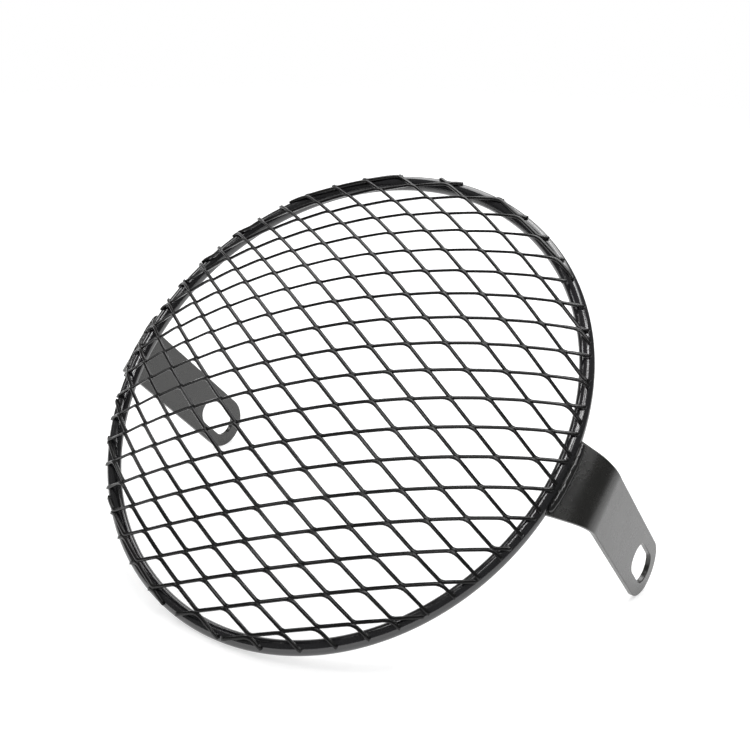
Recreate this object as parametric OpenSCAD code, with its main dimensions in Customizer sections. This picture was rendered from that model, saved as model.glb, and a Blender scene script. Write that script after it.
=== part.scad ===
// Motorcycle headlight guard: a domed expanded-metal mesh welded over a round-rod hoop, with two bent sheet
// brackets that reach back to the bolts on the headlight's sides.
// Built lying on its back, hoop in the XY plane and dome towards +Z, then stood up to face -Y as it is mounted.

/* [Ring] */
// Outside diameter of the hoop
ring_od = 195.5; // [170:0.5:230]
// Diameter of the round rod that the hoop is rolled from
rod_d = 5.5; // [4:0.25:9]

/* [Mesh] */
// Height of the dome's top above the hoop's centre plane
dome_rise = 29.2; // [18:0.2:40]
// Long way of a cell, between two joints of a row
cell_long = 23.5; // [23:0.5:32]
// Short way of a cell, between two joints one above the other
cell_short = 12.2; // [12:0.2:16]
// Width of a strand, as it was slit
strand_w = 1.3; // [0.9:0.1:1.8]
// Thickness of the sheet that the mesh was slit from
strand_t = 0.8; // [0.5:0.1:1.2]
// How far the strands lean out of the sheet on the dome, in degrees
strand_tilt = 35; // [15:1:50]
// Length of the joint between two strands
joint_l = 1.2; // [1:0.1:2.5]
// Length over which a strand bends into the top of a cell
peak_bend = 1; // [0.8:0.1:4]
// Where the joint nearest the middle lies, across
mesh_x = -2.1; // [-12:0.1:12]
// Where the joint nearest the middle lies, up
mesh_y = 1.4; // [-6:0.1:6]
// Turn of the cells' long way from the line through both brackets, in degrees
mesh_turn = -1.7; // [-30:0.1:30]
// Lean of the cells' short way from square, in degrees
mesh_lean = -1.2; // [-4:0.1:4]
// Swing of the cells round the rim, left by pressing the flat sheet into a dome, in degrees
press_swing = 2; // [0:0.1:3]
// Direction that does not swing, in degrees
press_axis = -6.2; // [-45:0.1:45]
// Where the strands end on the rod, in degrees round it from its front
wrap_end = 58; // [45:1:75]
// Length over which the leaning strands are rolled flat before they reach the rod
lie_l = 9; // [6:1:14]
// Gap between the mesh and the rod, filled by the weld tacks
mesh_gap = 0.15; // [0.08:0.01:0.3]

/* [Brackets] */
// Thickness of the bracket sheet
sheet_t = 2; // [1.5:0.25:3]
// Width of a bracket along its flat
bracket_w = 22; // [19:0.5:26]
// Width of a bracket where it is welded to the hoop
root_w = 29; // [27:0.5:36]
// Length over which the root narrows to the flat's width
flare_l = 18; // [12:0.5:24]
// Reach of a bracket behind the hoop's centre plane
bracket_reach = 88; // [70:1:120]
// How far the brackets stand out from the hoop, to their inner face
bracket_stand = 9; // [7:0.5:16]
// Slope at which a bracket leaves the rod, back from straight outwards, in degrees
leave_angle = 30; // [20:1:40]
// Inside radius of the bend
bend_r = 11; // [6:0.5:12]
// How much thinner the sheet is round the bend, on each face
bend_thin = 0.02; // [0.01:0.01:0.1]
// Lean of the flats towards each other, in degrees
flat_lean = 3.2; // [0:0.1:5]
// How far both brackets sit below the hoop's middle
bracket_drop = 2.5; // [0:0.5:6]
// Width of the bolt slot
slot_w = 11.5; // [8:0.5:12.5]
// Length of the bolt slot, end to end
slot_l = 21.5; // [14:0.5:26]

/* [Welds] */
// Radius of the weld beads that hold a bracket to the rod
bead_r = 1.4; // [1:0.1:1.8]
// How far a bead stops short of the bracket's edge
bead_inset = 1.5; // [1:0.1:4]

/* [Hidden] */

steel = "#26262a";

// A strand's slope over its last stretch before the top of a cell, in degrees.
peak_slope = 13;
// Share of a strand's length at which its middle line has risen as far as it does before that stretch.
peak_lift = 0.88;
// How far inside the sheet's cut edge a joint has to lie to be kept.
edge_keep = 0.5;
// Share of a strand that is left where its lost joint lies just inside the edge.
stub = 0.7;
// Turn round the rod from a bracket's middle plane to a bead's middle, in degrees.
bead_side = 32;
// Share of its radius that a bead's middle stands clear of the rod.
bead_stand = 0.55;
// How much fatter the blobs at a bead's ends are.
blob_extra = 0.06;
rod_r = rod_d / 2;
ring_r = ring_od / 2 - rod_r;

// The mesh's middle surface is a ball cap that runs on, without a kink, into a wrap round the rod.
wrap_r = rod_r + mesh_gap + strand_t / 2;
dome_r = (ring_r * ring_r + dome_rise * dome_rise - wrap_r * wrap_r) / (2 * (dome_rise - wrap_r));
dome_z = dome_rise - dome_r;
rim_tilt = asin(ring_r / (dome_r - wrap_r));
rim_s = dome_r * rim_tilt * PI / 180;
cut_s = rim_s + wrap_r * (wrap_end - rim_tilt) * PI / 180;
rim_levels = [rim_s, (rim_s + cut_s) / 2];

long_way = [cos(mesh_turn), sin(mesh_turn)];
short_way = [-sin(mesh_turn + mesh_lean), cos(mesh_turn + mesh_lean)];

// A bracket's middle line: out of the rod, round the bend, then straight back.
bend_mid = bend_r + sheet_t / 2;
bend_turn = 90 - leave_angle + flat_lean;
lead_l = (rod_r + bracket_stand + sheet_t / 2 - bend_mid * (1 - sin(leave_angle))) / cos(leave_angle);
bend_at = [ring_r + lead_l * cos(leave_angle) - bend_mid * sin(leave_angle),
           -lead_l * sin(leave_angle) - bend_mid * cos(leave_angle)];
flare_r = (flare_l * flare_l + pow((root_w - bracket_w) / 2, 2)) / (root_w - bracket_w);
tip_r = bracket_w / 2;
tip_at = bracket_reach - tip_r;

bead_turn = -asin(bracket_drop / (ring_r + rod_r));

function odd(k) = k - 2 * floor(k / 2);
function mix(p, q, t) = p + t * (q - p);

// The mesh.
// A point of the flat sheet is [x along the long way, y along the short way, h above the middle surface].

// Flat sheet to plan, and the distance from the middle, which pressing the dome keeps.
function on_plan(p) = [mesh_x, mesh_y] + p[0] * long_way + p[1] * short_way;
function reach(p) = norm(on_plan(p));

// Lays a point of the flat sheet on the dome, or round the rod where it lies beyond the rim.
function drape(p) =
    let (flat = on_plan(p), s = norm(flat), a = atan2(flat[1], flat[0]),
         turn = a - press_swing * pow(s / rim_s, 2) * sin(2 * (a - press_axis)),
         on_dome = s < rim_s,
         w = on_dome ? s / dome_r * 180 / PI : rim_tilt + (s - rim_s) / wrap_r * 180 / PI,
         r = on_dome ? (dome_r + p[2]) * sin(w) : ring_r + (wrap_r + p[2]) * sin(w),
         z = on_dome ? dome_z + (dome_r + p[2]) * cos(w) : (wrap_r + p[2]) * cos(w))
    [r * cos(turn), r * sin(turn), z];

// The strand's section in the plane across the long way: half its width, then half its thickness. The lean is
// full on the dome and fades out before the rod, where the strands are rolled flat.
function lean_at(p) = strand_tilt * min(1, max(0, (rim_s - rod_r / 2 - reach(p)) / lie_l));
function half_w(lean) = strand_w / 2 * [cos(lean), -sin(lean)];
function half_t(lean) = strand_t / 2 * [sin(lean), cos(lean)];

// Joint m on line k of the sheet. Lines are half a cell apart, and joints on odd lines lie between the others.
function joint_at(k, m) = [(m + odd(k) / 2) * cell_long, k * cell_short / 2, 0];
function held(k, m) = max([for (side = [-1, 1]) reach(end_at(k, m, side))]) < cut_s - edge_keep;

// The four corners of a strand's section at p. At a joint two of them are shared with the strand it is joined
// to: line = +1 at the top of a strand, -1 at its foot, and at is the joint's own point there. p[2] is the height
// that p has at full lean, and fades with it.
function section(p, line, at) =
    let (lean = lean_at(at), w = half_w(lean), t = half_t(lean), q = [p[0], p[1], p[2] * sin(lean) / sin(strand_tilt)])
    [for (i = [0 : 3])
        let (shared = line > 0 && (i == 1 || i == 2) || line < 0 && (i == 0 || i == 3),
             side = i == 0 || i == 3 ? -1 : 1, face = i < 2 ? -1 : 1,
             off = (shared ? 0 : side) * w + face * t)
        drape((shared ? at : q) + [0, off[0], off[1]])];

// A strand's middle line at side (-1 or 1) of a joint, seen from the strand above it (foot) or below it (top).
function end_at(k, m, side) = joint_at(k, m) + [side * joint_l / 2, 0, 0];
function foot(k, m, side) = let (at = end_at(k, m, side)) at + [0, half_w(lean_at(at))[0], half_w(strand_tilt)[1]];
function top(k, m, side) = let (at = end_at(k, m, side)) at - [0, half_w(lean_at(at))[0], half_w(strand_tilt)[1]];

// Where the line from p to q crosses the rim's levels, in order from p.
function crossing(p, q, r) =
    let (a = on_plan(p), d = on_plan(q) - a, b = a * d, c = a * a - r * r, root = sqrt(b * b - d * d * c))
    (reach(q) > r ? -b + root : -b - root) / (d * d);
function crossed(p, q) =
    let (out = reach(q) > reach(p))
    [for (i = [0, 1]) let (r = rim_levels[out ? i : 1 - i])
        if ((reach(p) - r) * (reach(q) - r) < 0) mix(p, q, crossing(p, q, r))];

// A link is the straight strand between two joints: line points from its held end, cut at the sheet's edge
// where the other joint is lost.
function whole(pts) = [for (i = [0 : len(pts) - 2]) each concat([pts[i]], crossed(pts[i], pts[i + 1])), pts[len(pts) - 1]];
function cut_short(pts) =
    let (lost = [for (i = [1 : len(pts) - 1]) if (reach(pts[i]) > cut_s) i],
         last = len(lost) > 0 ? lost[0] : len(pts) - 1,
         end = mix(pts[last - 1], pts[last], len(lost) > 0 ? crossing(pts[last - 1], pts[last], cut_s) : stub),
         kept = concat([for (i = [0 : last - 1]) pts[i]], [end]))
    whole(kept);

// Skin between neighbouring sections, each side two triangles. flip turns them for strands drawn leftwards.
function wound(tri, flip) = flip ? [tri[0], tri[2], tri[1]] : tri;
function side_skin(a, b, i, flip) =
    let (j = (i + 1) % 4) [wound([a[i], b[i], b[j]], flip), wound([a[i], b[j], a[j]], flip)];
function tube(rings, flip) = [for (n = [0 : len(rings) - 2], i = [0 : 3]) each side_skin(rings[n], rings[n + 1], i, flip)];
function cap(ring, flip) = [wound([ring[0], ring[2], ring[1]], flip), wound([ring[0], ring[3], ring[2]], flip)];

function link(k, m, dir) =
    let (up = m + (dir > 0 ? odd(k) : odd(k) - 1),
         low = held(k, m), high = held(k + 1, up),
         f = foot(k, m, dir), t = top(k + 1, up, -dir),
         bend = [t[0] - dir * peak_bend, t[1] - peak_bend * tan(peak_slope), mix(f, t, peak_lift)[2]],
         line = low ? [f, bend, t] : [t, bend, f],
         pts = low && high ? whole(line) : low || high ? cut_short(line) : [],
         n = len(pts),
         flip = low ? dir < 0 : dir > 0,
         rings = [for (i = [0 : 1 : n - 1])
             i == 0 ? section(pts[0], low ? -1 : 1, low ? end_at(k, m, dir) : end_at(k + 1, up, -dir))
             : i == n - 1 && low && high ? section(pts[i], 1, end_at(k + 1, up, -dir))
             : section(pts[i], 0, pts[i])])
    n == 0 ? [] : concat(tube(rings, flip), low && high ? [] : cap(rings[n - 1], flip));

// The two strands' short run along a joint, with the wall between them left out.
function joint_skin(k, m) =
    let (ends = [for (side = [-1, 1]) end_at(k, m, side)],
         above = [section(foot(k, m, -1), -1, ends[0]), section(foot(k, m, 1), -1, ends[1])],
         below = [section(top(k, m, -1), 1, ends[0]), section(top(k, m, 1), 1, ends[1])])
    concat([for (i = [0, 1, 2]) each side_skin(above[0], above[1], i, false)],
           [for (i = [0, 2, 3]) each side_skin(below[0], below[1], i, false)]);

module mesh() {
    lines = ceil(2 * cut_s / cell_short) + 2;
    cells = ceil(cut_s / cell_long) + 2;
    skin = [for (k = [-lines : lines], m = [-cells : cells])
        each concat(held(k, m) ? joint_skin(k, m) : [], link(k, m, 1), link(k, m, -1))];
    color(steel)
        polyhedron(points = [for (tri = skin) each tri],
                   faces = [for (i = [0 : len(skin) - 1]) [3 * i, 3 * i + 1, 3 * i + 2]]);
}

// The hoop, the brackets and their welds.
module ring() {
    color(steel) rotate_extrude($fn = 180) translate([ring_r, 0]) circle(r = rod_r, $fn = 40);
}

// A bracket's bent sheet, as wide as its root: a lead from the rod, the bend, and the flat back to the tip. The
// lead and the flat run a little way into the bend, whose two faces lie just inside theirs.
module bent_sheet() {
    lap = sheet_t / 4;
    translate([bend_at[0], root_w / 2, bend_at[1]]) rotate([90, 0, 0]) {
        rotate([0, 0, -flat_lean]) {
            rotate_extrude(angle = bend_turn, $fn = 120)
                translate([bend_r + bend_thin, 0]) square([sheet_t - 2 * bend_thin, root_w]);
            translate([bend_r, -bracket_reach, 0]) cube([sheet_t, bracket_reach + lap, root_w]);
        }
        rotate([0, 0, -leave_angle])
            translate([-ring_r / 4, bend_r, 0]) cube([ring_r / 4 + lap, sheet_t, root_w]);
    }
}

// A bracket's outline as seen from its side, X along the hoop and Y towards the front.
module side_outline() {
    translate([-bracket_w / 2, -tip_at]) square([bracket_w, tip_at]);
    translate([0, -tip_at]) circle(r = tip_r, $fn = 96);
    difference() {
        translate([-root_w / 2, -flare_l]) square([root_w, flare_l + rod_r]);
        for (side = [-1, 1])
            translate([side * (bracket_w / 2 + flare_r), -flare_l]) circle(r = flare_r, $fn = 240);
    }
}

// The slot's far end is concentric with the tip.
module slot_outline() {
    run = slot_l - slot_w;
    translate([-slot_w / 2, -tip_at]) square([slot_w, run]);
    for (end = [0, run]) translate([0, -tip_at + end]) circle(r = slot_w / 2, $fn = 64);
}

// Cuts an outline across a bracket, from the middle of the rod outwards.
module across() {
    translate([ring_r - rod_r / 2, 0, 0]) rotate([90, 0, 90]) linear_extrude(2 * (rod_r + bracket_stand + sheet_t))
        children();
}

module bracket() {
    color(steel) difference() {
        intersection() {
            bent_sheet();
            across() side_outline();
        }
        across() slot_outline();
        translate([0, bracket_drop, 0]) ring();
    }
}

// One bead along the corner between the rod and a bracket's face, on its front (side = 1) or its back (-1). The
// weld starts and stops with a blob a little fatter than the bead.
module bead(side) {
    at = 90 + leave_angle - side * bead_side;
    half = asin((root_w / 2 - bead_inset) / (ring_r + rod_r));
    out = rod_r + bead_r * bead_stand;
    centre = [ring_r + out * sin(at), out * cos(at)];
    rotate([0, 0, bead_turn - half]) {
        rotate_extrude(angle = 2 * half, $fn = 180) translate(centre) circle(r = bead_r, $fn = 32);
        for (end = [0, 2 * half]) rotate([0, 0, end]) translate([centre[0], 0, centre[1]])
            sphere(r = bead_r + blob_extra, $fn = 32);
    }
}

module weld() {
    color(steel) difference() {
        for (side = [-1, 1]) bead(side);
        ring();
        bracket_right();
    }
}

module bracket_right() { translate([0, -bracket_drop, 0]) bracket(); }
module bracket_left() { mirror([1, 0, 0]) bracket_right(); }
module weld_right() { weld(); }
module weld_left() { mirror([1, 0, 0]) weld_right(); }

// Stands the guard up as it is mounted: the dome faces -Y and the brackets reach back along +Y.
module mounted() { rotate([90, 0, 0]) children(); }

mounted() ring();
mounted() mesh();
mounted() bracket_left();
mounted() bracket_right();
mounted() weld_left();
mounted() weld_right();
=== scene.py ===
"""Looks of the motorcycle headlight guard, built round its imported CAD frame.

All lengths in the working are millimetres in the CAD's frame (-Y is the way the guard faces, +Z is up)
and become metres when a mesh is made.
"""

import bpy
import numpy as np
from mathutils import Matrix


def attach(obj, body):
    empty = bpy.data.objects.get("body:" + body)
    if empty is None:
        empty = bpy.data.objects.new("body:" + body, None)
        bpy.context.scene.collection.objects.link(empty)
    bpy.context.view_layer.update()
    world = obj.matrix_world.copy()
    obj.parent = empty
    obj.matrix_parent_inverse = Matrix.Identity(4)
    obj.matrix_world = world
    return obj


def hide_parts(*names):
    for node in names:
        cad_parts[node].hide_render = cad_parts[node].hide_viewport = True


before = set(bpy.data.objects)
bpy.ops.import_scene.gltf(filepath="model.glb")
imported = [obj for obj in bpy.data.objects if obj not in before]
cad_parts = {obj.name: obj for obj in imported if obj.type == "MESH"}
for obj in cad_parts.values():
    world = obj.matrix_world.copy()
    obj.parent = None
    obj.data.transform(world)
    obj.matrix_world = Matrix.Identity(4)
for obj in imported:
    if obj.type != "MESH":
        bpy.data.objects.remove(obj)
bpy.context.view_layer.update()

# Sizes in mm and angles, as in the part's source.
RING_R, ROD_R = 95.0, 2.75
DOME_RISE, CELL_LONG, CELL_SHORT = 29.2, 23.5, 12.2
STRAND_W, STRAND_T, STRAND_TILT = 1.3, 0.8, np.radians(35)
JOINT_L, PEAK_BEND, PEAK_SLOPE, PEAK_LIFT = 1.2, 1.0, np.tan(np.radians(13)), 0.88
MESH_AT = np.array([-2.1, 1.4])
MESH_TURN, MESH_LEAN = np.radians(-1.7), np.radians(-1.2)
PRESS_SWING, PRESS_AXIS = np.radians(2.0), np.radians(-6.2)
WRAP_END, LIE_L, MESH_GAP = np.radians(58), 9.0, 0.15
EDGE_KEEP, STUB = 0.5, 0.7
SHEET_T, BRACKET_W, ROOT_W, FLARE_L, BRACKET_REACH = 2.0, 22.0, 29.0, 18.0, 88.0
BRACKET_STAND, LEAVE, BEND_R, FLAT_LEAN, DROP = 9.0, np.radians(30), 11.0, np.radians(3.2), 2.5
SLOT_W, SLOT_L = 11.5, 21.5
BEAD_R, BEAD_INSET, BEAD_SIDE, BEAD_STAND = 1.4, 1.5, np.radians(32), 0.55

# Sizes of the scene alone. Strands stop this short of the sheet's cut edge, where the tacks take over,
# and are pressed down by this much over the last run of this length.
TIP_BACK, TIP_SINK, TIP_RUN = 1.2, 0.35, 2.2
# The coat on each face of a strand, and how far it rounds the section's corners.
COAT, COAT_R = 0.1, 0.2
# Half a tack's length, half its width, and how far its middle lies below the sheet's.
TACK_L, TACK_W, TACK_DOWN = 0.95, 0.85, 0.45
# The rounding of the brackets' edges, half the floor's side, and the strips' distance from the hoop's
# middle.
SHEET_EDGE, FLOOR_HALF, STRIPS_AT = 0.3, 1500, 800

WRAP_R = ROD_R + MESH_GAP + STRAND_T / 2
DOME_R = (RING_R**2 + DOME_RISE**2 - WRAP_R**2) / (2 * (DOME_RISE - WRAP_R))
RIM_TILT = np.arcsin(RING_R / (DOME_R - WRAP_R))
RIM_S = DOME_R * RIM_TILT
CUT_S = RIM_S + WRAP_R * (WRAP_END - RIM_TILT)


# Shader helpers.
class Wire:
    """A socket's value: +, - and * on it add Math nodes, so shader sums read as Python."""

    def __init__(self, tree, socket):
        self.tree, self.socket = tree, socket

    def _sum(self, operation, first, second):
        node = self.tree.nodes.new("ShaderNodeMath")
        node.operation = operation
        for slot, value in zip(node.inputs, (first, second)):
            if isinstance(value, Wire):
                self.tree.links.new(value.socket, slot)
            else:
                slot.default_value = value
        return Wire(self.tree, node.outputs[0])

    def __add__(self, other):
        return self._sum("ADD", self, other)

    def __radd__(self, other):
        return self._sum("ADD", other, self)

    def __sub__(self, other):
        return self._sum("SUBTRACT", self, other)

    def __rsub__(self, other):
        return self._sum("SUBTRACT", other, self)

    def __mul__(self, other):
        return self._sum("MULTIPLY", self, other)

    def __rmul__(self, other):
        return self._sum("MULTIPLY", other, self)


class Graph:
    """A node tree and the one way to add a node to it."""

    def __init__(self, tree):
        self.tree = tree
        self.tree.nodes.clear()

    def node(self, kind, settings=None, out=0, **sockets):
        """Adds a node: its settings first, then values or links for its sockets. A socket is named with
        _ for a space, or by its number after an n."""
        made = self.tree.nodes.new(kind)
        for key, value in (settings or {}).items():
            setattr(made, key, value)
        for key, value in sockets.items():
            slot = made.inputs[int(key[1:]) if key[0] == "n" and key[1:].isdigit() else key.replace("_", " ")]
            if isinstance(value, Wire):
                self.tree.links.new(value.socket, slot)
            else:
                slot.default_value = value
        return Wire(self.tree, made.outputs[out])

    def shown(self, shader, output="ShaderNodeOutputMaterial"):
        end = self.tree.nodes.new(output)
        self.tree.links.new(shader.socket, end.inputs["Surface"])


def new_material(name):
    material = bpy.data.materials.new(name)
    material.use_nodes = True
    return material, Graph(material.node_tree)


def black_coat(name, colour, gloss, peel, haze, dust, shine):
    """A black stoved coat on steel. gloss is its roughness, peel how wavy the coat dried, haze how far
    the gloss wanders, dust how much paler the matt patches are, shine how strongly it mirrors."""
    material, g = new_material(name)
    at = g.node("ShaderNodeTexCoord", out="Object")
    cloud = g.node("ShaderNodeTexNoise", Vector=at, Scale=90.0, Detail=5.0, Roughness=0.6)
    wave = g.node("ShaderNodeTexNoise", Vector=at, Scale=900.0, Detail=3.0, Roughness=0.55)
    grit = g.node("ShaderNodeTexNoise", Vector=at, Scale=4200.0, Detail=2.0, Roughness=0.7)
    speck = g.node("ShaderNodeTexVoronoi", {"feature": "F1"}, Vector=at, Scale=520.0)
    spot = g.node("ShaderNodeMapRange", {"clamp": True}, Value=speck, From_Min=0.02, From_Max=0.14,
                  To_Min=1.0, To_Max=0.0)
    cover = g.node("ShaderNodeMapRange", {"clamp": True}, Value=cloud, From_Min=0.35, From_Max=0.75)
    pale = tuple(c * (1 + 1.6 * dust) for c in colour)
    tint = g.node("ShaderNodeMix", {"data_type": "RGBA"}, out=2, n0=cover * 0.7 + spot * 0.3,
                  n6=(*colour, 1), n7=(*pale, 1))
    rough = gloss + (cloud - 0.5) * (0.22 * haze) + (grit - 0.5) * 0.05 + spot * (0.12 * haze)
    bump = g.node("ShaderNodeBump", Height=wave * 0.7 + grit * 0.3, Strength=0.22 * peel, Distance=0.0003)
    g.shown(g.node("ShaderNodeBsdfPrincipled", Base_Color=tint, Roughness=rough, Normal=bump, IOR=1.5,
                   Specular_IOR_Level=shine))
    return material


# Mesh helpers.
def to_world(points):
    """From the ring's own axes (across, up, forward) to the CAD frame: X, -forward as Y, and up as Z."""
    return np.stack([points[..., 0], -points[..., 2], points[..., 1]], -1)


def grid_faces(rows, columns, wrap_rows=False, wrap_columns=False, start=0):
    """Corner numbers of the quads of a grid numbered row by row: each quad joins a cell's four
    neighbours in order."""
    r = np.arange(rows if wrap_rows else rows - 1)[:, None]
    c = np.arange(columns if wrap_columns else columns - 1)[None, :]
    r2, c2 = (r + 1) % rows, (c + 1) % columns
    corners = np.broadcast_arrays(r * columns + c, r * columns + c2, r2 * columns + c2, r2 * columns + c)
    return np.stack(corners, -1).reshape(-1, 4) + start


def welded(points, quads):
    """Points alike to a thousandth of a millimetre become one."""
    key = np.round(points, 3)
    _, first, back = np.unique(key, axis=0, return_index=True, return_inverse=True)
    return points[first], back.reshape(-1)[quads]


def make_piece(name, points, quads, material, slot, replaces=()):
    """A smooth mesh object from points in mm and corner numbers, riding on the guard's one body. Quads
    with two corners in one point become triangles, and those shrunk to a line go."""
    points, quads = welded(points, quads)
    faces = [tuple(dict.fromkeys(q)) for q in quads.tolist()]
    faces = [q for q in faces if len(q) > 2]
    mesh = bpy.data.meshes.new(name)
    mesh.from_pydata((points / 1000).tolist(), [], faces)
    mesh.validate()
    mesh.polygons.foreach_set("use_smooth", np.full(len(mesh.polygons), True))
    mesh.update()
    mesh.materials.append(material)
    piece = bpy.data.objects.new(name, mesh)
    bpy.context.scene.collection.objects.link(piece)
    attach(piece, "root")
    for node in replaces:
        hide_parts(node)
    return piece


# The mesh.
def on_plan(x, y):
    """Flat sheet to plan: the joint nearest the middle plus x along the long way and y along the short
    way."""
    long_way = np.array([np.cos(MESH_TURN), np.sin(MESH_TURN)])
    short_way = np.array([-np.sin(MESH_TURN + MESH_LEAN), np.cos(MESH_TURN + MESH_LEAN)])
    return MESH_AT + x[..., None] * long_way + y[..., None] * short_way


def reach(x, y):
    """Distance along the sheet from the dome's middle, which pressing keeps."""
    return np.linalg.norm(on_plan(x, y), axis=-1)


def drape(x, y, h):
    """Lays the flat sheet on the dome. With s the distance along the sheet and w the angle from the
    dome's axis, w = s / dome radius up to the rim and then rim tilt + (s - rim) / wrap radius round the
    rod; the point lies at radius (dome radius + h) sin w and height centre + (dome radius + h) cos w,
    or the same about the rod. The direction swings by swing * (s / rim)^2 * sin 2(a - axis), which the
    press left."""
    plan = on_plan(x, y)
    s, a = np.linalg.norm(plan, axis=-1), np.arctan2(plan[..., 1], plan[..., 0])
    turn = a - PRESS_SWING * (s / RIM_S) ** 2 * np.sin(2 * (a - PRESS_AXIS))
    on_dome = s < RIM_S
    w = np.where(on_dome, s / DOME_R, RIM_TILT + (s - RIM_S) / WRAP_R)
    radius = np.where(on_dome, DOME_R, WRAP_R) + h
    r = np.where(on_dome, 0, RING_R) + radius * np.sin(w)
    z = np.where(on_dome, DOME_RISE - DOME_R, 0) + radius * np.cos(w)
    return np.stack([r * np.cos(turn), r * np.sin(turn), z], -1)


HALF = CELL_LONG / 2
RISE = CELL_SHORT / 2 - STRAND_W * np.cos(STRAND_TILT)


def lean_at(x, y):
    """The strands' lean out of the sheet: full on the dome, fading out before the rod, where they lie
    flat."""
    return STRAND_TILT * np.clip((RIM_S - ROD_R / 2 - reach(x, y)) / LIE_L, 0, 1)


def strand_path():
    """A strand from the middle of its foot joint to the middle of its top joint, as tables over u, the
    way along the cell: how far it has climbed, from 0 to 1, and its height, from -1 to 1. It is flat
    along the joint, climbs straight, then less over the last stretch, and is flat again. A running mean
    rounds the corners, tighter at the foot than at the top, where the slit sheet was bent."""
    u = np.linspace(0, HALF, 941)
    knots = [0, JOINT_L / 2, HALF - JOINT_L / 2 - PEAK_BEND, HALF - JOINT_L / 2, HALF]
    climb = np.interp(u, knots, [0, 0, 1 - PEAK_BEND * PEAK_SLOPE / RISE, 1, 1])
    lift = np.interp(u, knots, [-1, -1, 2 * PEAK_LIFT - 1, 1, 1])

    def mean(values, width):
        n = int(width / HALF * len(u)) | 1
        padded = np.pad(values, n // 2, mode="reflect")
        return np.convolve(padded, np.full(n, 1 / n), "valid")

    share = u / HALF
    return u, *((1 - share) * mean(v, 0.5) + share * mean(v, 1.1) for v in (climb, lift))


def joint_at(k, m):
    """Joint m on line k of the sheet. Lines are half a cell apart, and odd lines' joints lie between
    the others."""
    return (m + k % 2 / 2) * CELL_LONG, k * CELL_SHORT / 2


def held(k, m):
    """Whether the sheet's edge leaves a joint whole, to both its ends."""
    x, y = joint_at(k, m)
    return np.maximum(reach(x - JOINT_L / 2, y), reach(x + JOINT_L / 2, y)) < CUT_S - EDGE_KEEP


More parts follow.
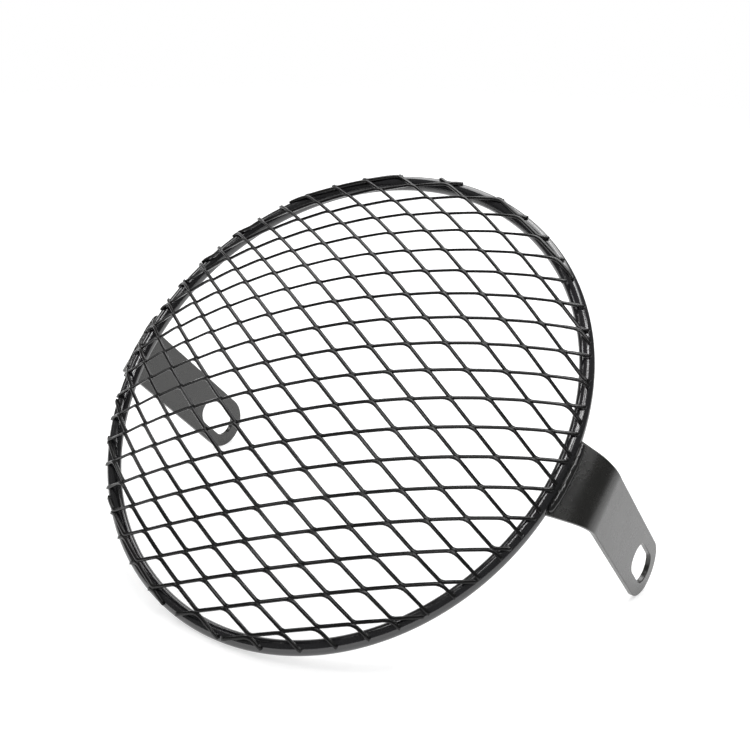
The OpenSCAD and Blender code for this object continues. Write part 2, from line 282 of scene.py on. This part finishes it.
def strand_net():
    """Every strand of the net as a tube of sections carried along the strand's path. The section is a
    rectangle, the strand's width by the sheet's thickness, whose corners the coat rounds, and it leans
    by lean_at. Strands between two joints are whole, and one whose far joint is lost ends at the
    sheet's edge, rounded off. Returns points, quads, and the places in the flat sheet where strands
    end."""
    table_u, table_y, table_h = strand_path()
    w, t = STRAND_W / 2, STRAND_T / 2
    w_out, t_out = w + COAT, t + COAT
    w_in, t_in = w_out - COAT_R, t_out - COAT_R
    wide = np.array([w_in, w_out, w_out, w_in, -w_in, -w_out, -w_out, -w_in])
    thick = np.array([t_out, t_in, -t_in, -t_out, -t_out, -t_in, t_in, t_out])
    lines, cells = int(2 * CUT_S / CELL_SHORT) + 2, int(CUT_S / CELL_LONG) + 2
    grid = np.meshgrid(np.arange(-lines, lines), np.arange(-cells, cells + 1), [1, -1], indexing="ij")
    k, m, way = (a.ravel() for a in grid)
    up = m + np.where(way > 0, k % 2, k % 2 - 1)
    low, high = held(k, m), held(k + 1, up)
    foot_x, foot_y = joint_at(k, m)
    top_y = foot_y + CELL_SHORT / 2
    foot_y = foot_y + w * np.cos(lean_at(foot_x, foot_y))
    top_y = top_y - w * np.cos(lean_at(foot_x + way * HALF, top_y))

    def line(pick, u):
        """The middle line of picked strands at u, an array of strand by place: x and y in the flat
        sheet."""
        climb = np.interp(u, table_u, table_y)
        x = foot_x[pick, None] + way[pick, None] * u
        return x, foot_y[pick, None] * (1 - climb) + top_y[pick, None] * climb

    def tubes(pick, u, scale, run):
        """Rings of the section at u, shrunk by scale, and the quads between them, for strands run along
        x by run."""
        x, y = line(pick, u)
        lean = lean_at(x, y)[..., None]
        pressed = TIP_SINK * np.clip((reach(x, y) - CUT_S + TIP_RUN) / TIP_RUN, 0, 1)
        h = np.interp(u, table_u, table_h)[..., None] * w * np.sin(lean) - pressed[..., None]
        across, out = scale[..., None] * wide, scale[..., None] * thick
        y = y[..., None] + across * np.cos(lean) + out * np.sin(lean)
        h = h - across * np.sin(lean) + out * np.cos(lean)
        rings = drape(np.broadcast_to(x[..., None], y.shape), y, h)
        rings = np.where((run > 0)[:, None, None, None], rings, rings[:, :, ::-1])
        count, rows = u.shape
        one = grid_faces(rows, len(wide), wrap_columns=True)
        return rings.reshape(-1, 3), (one + np.arange(count)[:, None, None] * rows * len(wide)).reshape(-1, 4)

    both = low & high
    by_rim = reach(foot_x + way * HALF / 2, (foot_y + top_y) / 2) > RIM_S - LIE_L - HALF / 2
    # Places of the rings along a whole strand: close where it bends, and closer all along where it
    # rounds the rod.
    plain = np.array([0, 0.5, 1.0, 3.5, 7.4, 9.8, 10.7, 11.2, HALF])
    fine = np.array([0, 0.5, 1.0, 2.2, 3.4, 4.6, 5.8, 7.0, 8.2, 9.2, 10.0, 10.7, 11.2, HALF])
    batches = []
    for which, stations in ((both & ~by_rim, plain), (both & by_rim, fine)):
        pick = np.flatnonzero(which)
        u = np.broadcast_to(stations, (len(pick), len(stations)))
        batches.append(tubes(pick, u, np.ones_like(u), way[pick]))
    ends = []
    for which, start, stop in ((low & ~high, 0.0, HALF), (high & ~low, HALF, 0.0)):
        pick = np.flatnonzero(which)
        on = np.sign(stop - start)
        tries = 240
        along = np.linspace(start, stop, tries)
        beyond = reach(*line(pick, along)) > CUT_S - TIP_BACK
        tip = along[np.where(beyond.any(1), beyond.argmax(1), int(STUB * tries))][:, None]
        # Twelve rings to the tip, and three past it that round it off.
        share = np.array([*np.linspace(0, 1, 12), 1, 1, 1])
        over = np.array([0] * 12 + [0.16, 0.27, 0.31])
        u = start + (tip - start) * share + over * on
        scale = np.broadcast_to(np.array([1] * 12 + [0.86, 0.5, 0.0]), u.shape)
        batches.append(tubes(pick, u, scale, way[pick] * on))
        # The tack sits a little before the tip and points the way that the last millimetre runs.
        x, y = line(pick, tip - 0.75 * on)
        back_x, back_y = line(pick, tip - 1.75 * on)
        ends.append(np.concatenate([x, y, x - back_x, y - back_y], 1))
    starts = np.cumsum([0] + [len(points) for points, _ in batches])
    quads = np.concatenate([q + start for (_, q), start in zip(batches, starts)])
    return to_world(np.concatenate([points for points, _ in batches])), quads[:, ::-1], np.concatenate(ends)


def tack_welds(ends):
    """A tack on the rod at each strand's end: a ball stretched along the strand, in the flat sheet's
    own lengths, then laid round the rod as the strand is. It reaches down into the rod and a little
    over the strand. Each is a bit larger or smaller, turned and shifted."""
    rng = np.random.default_rng(11)
    rows, columns = 7, 8
    v, p = np.meshgrid(np.linspace(0, np.pi, rows), np.arange(columns) * 2 * np.pi / columns, indexing="ij")
    x, y, dx, dy = ends.T[:, :, None, None]
    size = rng.uniform(0.8, 1.35, (len(ends), 1, 1))
    spin = np.arctan2(dy, dx) + rng.normal(0, 0.35, size.shape)
    along = TACK_L * size * np.cos(v) + rng.uniform(-0.35, 0.15, size.shape)
    across = TACK_W * size * np.sin(v) * np.cos(p)
    h = (STRAND_T / 2 + 0.4 * size) * np.sin(v) * np.sin(p) - TACK_DOWN
    sheet_x = x + along * np.cos(spin) - across * np.sin(spin)
    sheet_y = y + along * np.sin(spin) + across * np.cos(spin)
    points = drape(sheet_x, sheet_y, h)
    one = grid_faces(rows, columns, wrap_columns=True)
    quads = (one + np.arange(len(ends))[:, None, None] * rows * columns).reshape(-1, 4)
    return to_world(points.reshape(-1, 3)), quads[:, ::-1]


# The hoop, its brackets and its welds.
def hoop_rod():
    """The rod: a circle of the rod's radius carried round a circle of the ring's radius."""
    round_hoop, round_rod = (np.linspace(0, 2 * np.pi, count, endpoint=False) for count in (540, 36))
    g, p = np.meshgrid(round_hoop, round_rod, indexing="ij")
    r = RING_R + ROD_R * np.cos(p)
    ring = np.stack([r * np.cos(g), r * np.sin(g), ROD_R * np.sin(p)], -1)
    return to_world(ring.reshape(-1, 3)), grid_faces(*g.shape, True, True)[:, ::-1]


def bracket_line():
    """The bracket's middle line in the plane across the rod: straight out of the rod, round the bend,
    straight back. Gives a function from distance along it to (outwards, backwards)."""
    bend_mid = BEND_R + SHEET_T / 2
    lead = (ROD_R + BRACKET_STAND + SHEET_T / 2 - bend_mid * (1 - np.sin(LEAVE))) / np.cos(LEAVE)
    centre = np.array([RING_R + lead * np.cos(LEAVE) - bend_mid * np.sin(LEAVE),
                       lead * np.sin(LEAVE) + bend_mid * np.cos(LEAVE)])
    turn = np.pi / 2 - LEAVE + FLAT_LEAN
    arc = bend_mid * turn

    def at(s):
        s = np.asarray(s, float)
        angle = np.clip((s - lead) / bend_mid, 0, turn)
        # The middle line's direction turns from LEAVE below straight out to straight back and a little
        # inwards.
        heading = LEAVE + angle
        radial = np.stack([np.sin(heading), -np.cos(heading)], -1)
        along = np.stack([np.cos(heading), np.sin(heading)], -1)
        extra = np.where(s < lead, s - lead, np.where(s > lead + arc, s - lead - arc, 0))
        return centre + bend_mid * radial + extra[..., None] * along

    return at, lead, arc


def half_width(back):
    """Half the bracket's width at a depth behind the hoop: a wide root that narrows along an arc to the
    flat."""
    flare_r = (FLARE_L**2 + ((ROOT_W - BRACKET_W) / 2) ** 2) / (ROOT_W - BRACKET_W)
    inner = np.clip(FLARE_L - back, 0, FLARE_L)
    return BRACKET_W / 2 + flare_r - np.sqrt(flare_r**2 - inner**2)


def bracket_sheet(side):
    """The bracket's middle surface. From the rod to just before the slot it is the middle line by the
    width; from there a fan of rays runs from the slot's edge to the sheet's edge, round the tip. side
    is 1 right, -1 left."""
    at, lead, arc = bracket_line()
    tip_at, run = BRACKET_REACH - BRACKET_W / 2, SLOT_L - SLOT_W
    split = tip_at - run - SLOT_W / 2 - 4
    long_s = np.linspace(lead + arc, lead + arc + 200, 4001)

    def s_of(back):
        """Distance along the middle line to a depth behind the hoop, past the bend."""
        return np.interp(back, at(long_s)[:, 1], long_s)

    across = 16
    v = np.linspace(-1, 1, across + 1)
    s = np.concatenate([np.linspace(1.0, lead, 8)[:-1], lead + np.linspace(0, arc, 25)[:-1],
                        np.linspace(lead + arc, float(s_of(split)), 24)])
    out, back = at(s).T
    band = np.stack([np.broadcast_to(out[:, None], (len(s), across + 1)),
                     v * half_width(back)[:, None] - DROP,
                     -np.broadcast_to(back[:, None], (len(s), across + 1))], -1)
    points, quads = [band.reshape(-1, 3)], [grid_faces(len(s), across + 1)]
    # Rays: the sheet's edge against the slot's edge, both from the split line's left corner, round the
    # tip and back.
    w, sr = BRACKET_W / 2, SLOT_W / 2
    side_y, tip_a = np.linspace(split, tip_at, 15), np.linspace(0, np.pi, 33)
    edge = np.concatenate([np.stack([np.full(15, -w), side_y], -1),
                           np.stack([-w * np.cos(tip_a), tip_at + w * np.sin(tip_a)], -1)[1:-1],
                           np.stack([np.full(15, w), side_y[::-1]], -1),
                           np.stack([v[::-1] * w, np.full(across + 1, split)], -1)[1:-1]])
    near_a = np.linspace(0, np.pi, across + 1)
    slot_y = np.linspace(tip_at - run, tip_at, 15)
    slot = np.concatenate([np.stack([np.full(15, -sr), slot_y], -1),
                           np.stack([-sr * np.cos(tip_a), tip_at + sr * np.sin(tip_a)], -1)[1:-1],
                           np.stack([np.full(15, sr), slot_y[::-1]], -1),
                           np.stack([sr * np.cos(near_a), tip_at - run - sr * np.sin(near_a)], -1)[1:-1]])
    share = np.linspace(0, 1, 5)[:, None, None]
    fan = slot + (edge - slot) * share
    fan_out = at(s_of(fan[..., 1]))[..., 0]
    fan = np.stack([fan_out, fan[..., 0] - DROP, -fan[..., 1]], -1)
    quads.append(grid_faces(5, len(slot), wrap_columns=True, start=len(points[0])))
    points.append(fan.reshape(-1, 3))
    points, quads = np.concatenate(points), np.concatenate(quads)
    points[:, 0] *= side
    return to_world(points), quads if side > 0 else quads[:, ::-1]


def weld_bead(side, face, seed):
    """A bead along the corner between rod and bracket: a circle carried along the rod, fuller and
    leaner by the ripples that the torch leaves, and drawn in to a point at both ends. face is 1 in
    front, -1 behind."""
    rng = np.random.default_rng(seed)
    gamma = np.pi / 2 + LEAVE - face * BEAD_SIDE
    half = np.arcsin((ROOT_W / 2 - BEAD_INSET) / (RING_R + ROD_R))
    middle = -np.arcsin(DROP / (RING_R + ROD_R))
    rows, columns = 160, 20
    round_bead = np.linspace(0, 2 * np.pi, columns, endpoint=False)
    t, p = np.meshgrid(np.linspace(-1, 1, rows), round_bead, indexing="ij")
    turn = middle + t * half
    length = t * half * RING_R
    waves = rng.uniform(0, 6.28, 4)
    # Ripples 1.9 mm apart, bowed across the bead, over two slower waves.
    phase = np.pi * (length + 0.35 * np.cos(p)) / 1.9 + 0.6 * np.sin(length * 0.7 + waves[2])
    slow = 0.05 * np.sin(length * 0.6 + waves[0])
    ripple = 0.02 * np.abs(np.sin(phase)) + slow + 0.02 * np.sin(length * 1.5 + waves[1])
    closing = np.sqrt(np.clip(1 - np.abs(t) ** 14, 0, 1))
    r = BEAD_R * (0.97 + ripple) * closing
    lift = ROD_R + BEAD_R * BEAD_STAND
    across = RING_R + lift * np.sin(gamma) + r * np.cos(p)
    forward = lift * np.cos(gamma) + r * np.sin(p)
    points = np.stack([side * across * np.cos(turn), across * np.sin(turn), forward], -1)
    quads = grid_faces(rows, columns, wrap_columns=True)
    return to_world(points.reshape(-1, 3)), quads[:, ::-1] if side > 0 else quads


# Finishes and pieces.
mesh_coat = black_coat("mesh_coat", (0.005, 0.005, 0.005), 0.17, peel=0.4, haze=0.4, dust=0.4, shine=0.28)
rod_coat = black_coat("hoop_coat", (0.006, 0.006, 0.007), 0.15, peel=0.4, haze=0.4, dust=0.4, shine=1.0)
sheet_coat = black_coat("bracket_coat", (0.009, 0.009, 0.008), 0.27, peel=0.5, haze=0.5, dust=0.5, shine=0.7)
bead_coat = black_coat("weld_coat", (0.006, 0.006, 0.006), 0.16, peel=0.8, haze=0.5, dust=0.4, shine=0.7)

net_points, net_quads, cut_ends = strand_net()
make_piece("net_strands", net_points, net_quads, mesh_coat, "mesh_coat", ["mesh"])
make_piece("net_tacks", *tack_welds(cut_ends), bead_coat, "weld_coat")
make_piece("hoop_rod", *hoop_rod(), rod_coat, "hoop_coat", ["ring"])

for side, word in ((1, "right"), (-1, "left")):
    sheet = make_piece("sheet_" + word, *bracket_sheet(side), sheet_coat, "bracket_coat", ["bracket_" + word])
    wall = sheet.modifiers.new("wall", "SOLIDIFY")
    wall.thickness, wall.offset, wall.use_even_offset = SHEET_T / 1000, 0, True
    edge = sheet.modifiers.new("rounded_edge", "BEVEL")
    edge.width, edge.segments = SHEET_EDGE / 1000, 3
    edge.limit_method, edge.angle_limit = "ANGLE", np.radians(50)
    edge.harden_normals = True
    parts = [weld_bead(side, face, 7 + face + side) for face in (1, -1)]
    points = np.concatenate([p for p, _ in parts])
    quads = np.concatenate([parts[0][1], parts[1][1] + len(parts[0][0])])
    make_piece("bead_" + word, points, quads, bead_coat, "weld_coat", ["weld_" + word])

# Floor, light and camera.
#
# The guard lies on the hoop's lowest point and both bracket tips: their common tangent plane is the
# floor.
lean = np.arccos((BRACKET_W / 2 - ROD_R) / np.hypot(RING_R - DROP, BRACKET_REACH - BRACKET_W / 2)) \
    - np.arctan2(BRACKET_REACH - BRACKET_W / 2, RING_R - DROP)
floor_up = np.array([0, -np.sin(lean), np.cos(lean)])
floor_down = -(RING_R * np.cos(lean) + ROD_R)


def floor_sheet():
    """A square plane on the floor, 3 m wide, under the guard."""
    along = np.cross(floor_up, [1, 0, 0])
    centre = floor_up * floor_down
    signs = ((-1, -1), (1, -1), (1, 1), (-1, 1))
    corners = [centre + FLOOR_HALF * (i * np.array([1, 0, 0]) + j * along) for i, j in signs]
    return np.array(corners), np.array([[0, 1, 2, 3]])


def floor_finish():
    """White from above, less what shadow falls on it: matt white, which the camera, glossy and clear
    surfaces see lifted to white with softer shadows. It fades into the white world away from the guard
    and is see-through from below."""
    material, g = new_material("floor_white")
    at = g.node("ShaderNodeTexCoord", out="Object")
    centre = tuple(floor_up * floor_down / 1000)
    far = g.node("ShaderNodeVectorMath", {"operation": "DISTANCE"}, out="Value", n0=at, n1=centre)
    fade = g.node("ShaderNodeMapRange", {"interpolation_type": "SMOOTHSTEP"}, Value=far,
                  From_Min=0.45, From_Max=1.0)
    under = g.node("ShaderNodeNewGeometry", out="Backfacing")
    to_camera = g.node("ShaderNodeLightPath", out="Is Camera Ray")
    in_gloss = g.node("ShaderNodeLightPath", out="Is Glossy Ray")
    in_glass = g.node("ShaderNodeLightPath", out="Is Transmission Ray")
    matt_white = g.node("ShaderNodeBsdfDiffuse", Color=(0.86, 0.86, 0.86, 1))
    shaded = g.node("ShaderNodeBsdfDiffuse", Color=(0.5, 0.5, 0.5, 1))
    glow = g.node("ShaderNodeEmission", Color=(1, 1, 1, 1), Strength=0.6)
    lifted = g.node("ShaderNodeAddShader", n0=shaded, n1=glow)
    clear = g.node("ShaderNodeBsdfTransparent")
    sheet = g.node("ShaderNodeMixShader", n0=to_camera + in_gloss + in_glass, n1=matt_white, n2=lifted)
    g.shown(g.node("ShaderNodeMixShader", n0=1 - (1 - fade) * (1 - under), n1=sheet, n2=clear))
    return material


points, quads = floor_sheet()
mesh = bpy.data.meshes.new("floor")
mesh.from_pydata((points / 1000).tolist(), [], quads.tolist())
mesh.materials.append(floor_finish())
floor = bpy.data.objects.new("floor", mesh)
bpy.context.scene.collection.objects.link(floor)

# The world is white to the camera and lights matt surfaces at half that. Glossy and clear surfaces see
# it white behind the guard, as a studio's backdrop is, and dim elsewhere, where the room is.
BEHIND = np.array([-0.56, 0.79, 0.25])
world = bpy.data.worlds.new("studio")
bpy.context.scene.world = world
world.use_nodes = True
g = Graph(world.node_tree)
way_out = g.node("ShaderNodeTexCoord", out="Generated")
to_cove = g.node("ShaderNodeVectorMath", {"operation": "DOT_PRODUCT"}, out="Value", n0=way_out,
                 n1=tuple(BEHIND))
cove = g.node("ShaderNodeMapRange", {"interpolation_type": "SMOOTHSTEP"}, Value=to_cove,
              From_Min=0.6, From_Max=0.92, To_Min=0.15, To_Max=1.0)
to_camera = g.node("ShaderNodeLightPath", out="Is Camera Ray")
in_gloss = g.node("ShaderNodeLightPath", out="Is Glossy Ray")
in_glass = g.node("ShaderNodeLightPath", out="Is Transmission Ray")
seen = to_camera + (in_gloss + in_glass) * cove
strength = seen + (1 - to_camera - in_gloss - in_glass) * 0.5
g.shown(g.node("ShaderNodeBackground", Color=(1, 1, 1, 1), Strength=strength), "ShaderNodeOutputWorld")


def soft_lamp(name, at, size, power):
    """A rectangular softbox at a point in mm, turned to face the hoop's middle."""
    lamp = bpy.data.lights.new(name, "AREA")
    lamp.shape, lamp.size, lamp.size_y, lamp.energy = "RECTANGLE", size[0] / 1000, size[1] / 1000, power
    body = bpy.data.objects.new(name, lamp)
    back = np.array(at, float) / np.linalg.norm(at)
    right = np.cross(floor_up, back)
    right /= np.linalg.norm(right)
    up = np.cross(back, right)
    turn = np.eye(4)
    turn[:3, 0], turn[:3, 1], turn[:3, 2], turn[:3, 3] = right, up, back, np.array(at) / 1000
    body.matrix_world = Matrix(turn.tolist())
    body.visible_camera = False
    bpy.context.scene.collection.objects.link(body)


# One large softbox overhead lights the broad faces of the steep strands, three strips side by side give
# the rod its fine parallel lines of light, and a small box at the left lights the hoop's left part.
soft_lamp("overhead_box", (-210, -190, 855), (850, 850), 7.5)
for number, shift in enumerate((-230, -60, 110)):
    soft_lamp("strip_%d" % number, floor_up * STRIPS_AT + np.array([200, shift, shift]), (1200, 45), 1.9)
soft_lamp("left_box", np.array([-850, -350, 0]) + floor_up * 450, (220, 320), 1.2)

camera = bpy.data.cameras.new("camera")
camera.lens, camera.sensor_width, camera.sensor_fit = 67.27, 36, "HORIZONTAL"
camera.clip_start, camera.clip_end = 0.01, 20
view = bpy.data.objects.new("camera", camera)
right = np.array([0.80546165, 0.3946456, 0.44213843])
up = np.array([-0.2406912, -0.46391176, 0.85255711])
place = np.eye(4)
place[:3, 0], place[:3, 1], place[:3, 2] = right, up, np.cross(right, up)
place[:3, 3] = np.array([289.296, -408.036, -130.463]) / 1000
view.matrix_world = Matrix(place.tolist())
bpy.context.scene.collection.objects.link(view)
bpy.context.scene.camera = view
bpy.context.scene.view_settings.view_transform = "Standard"
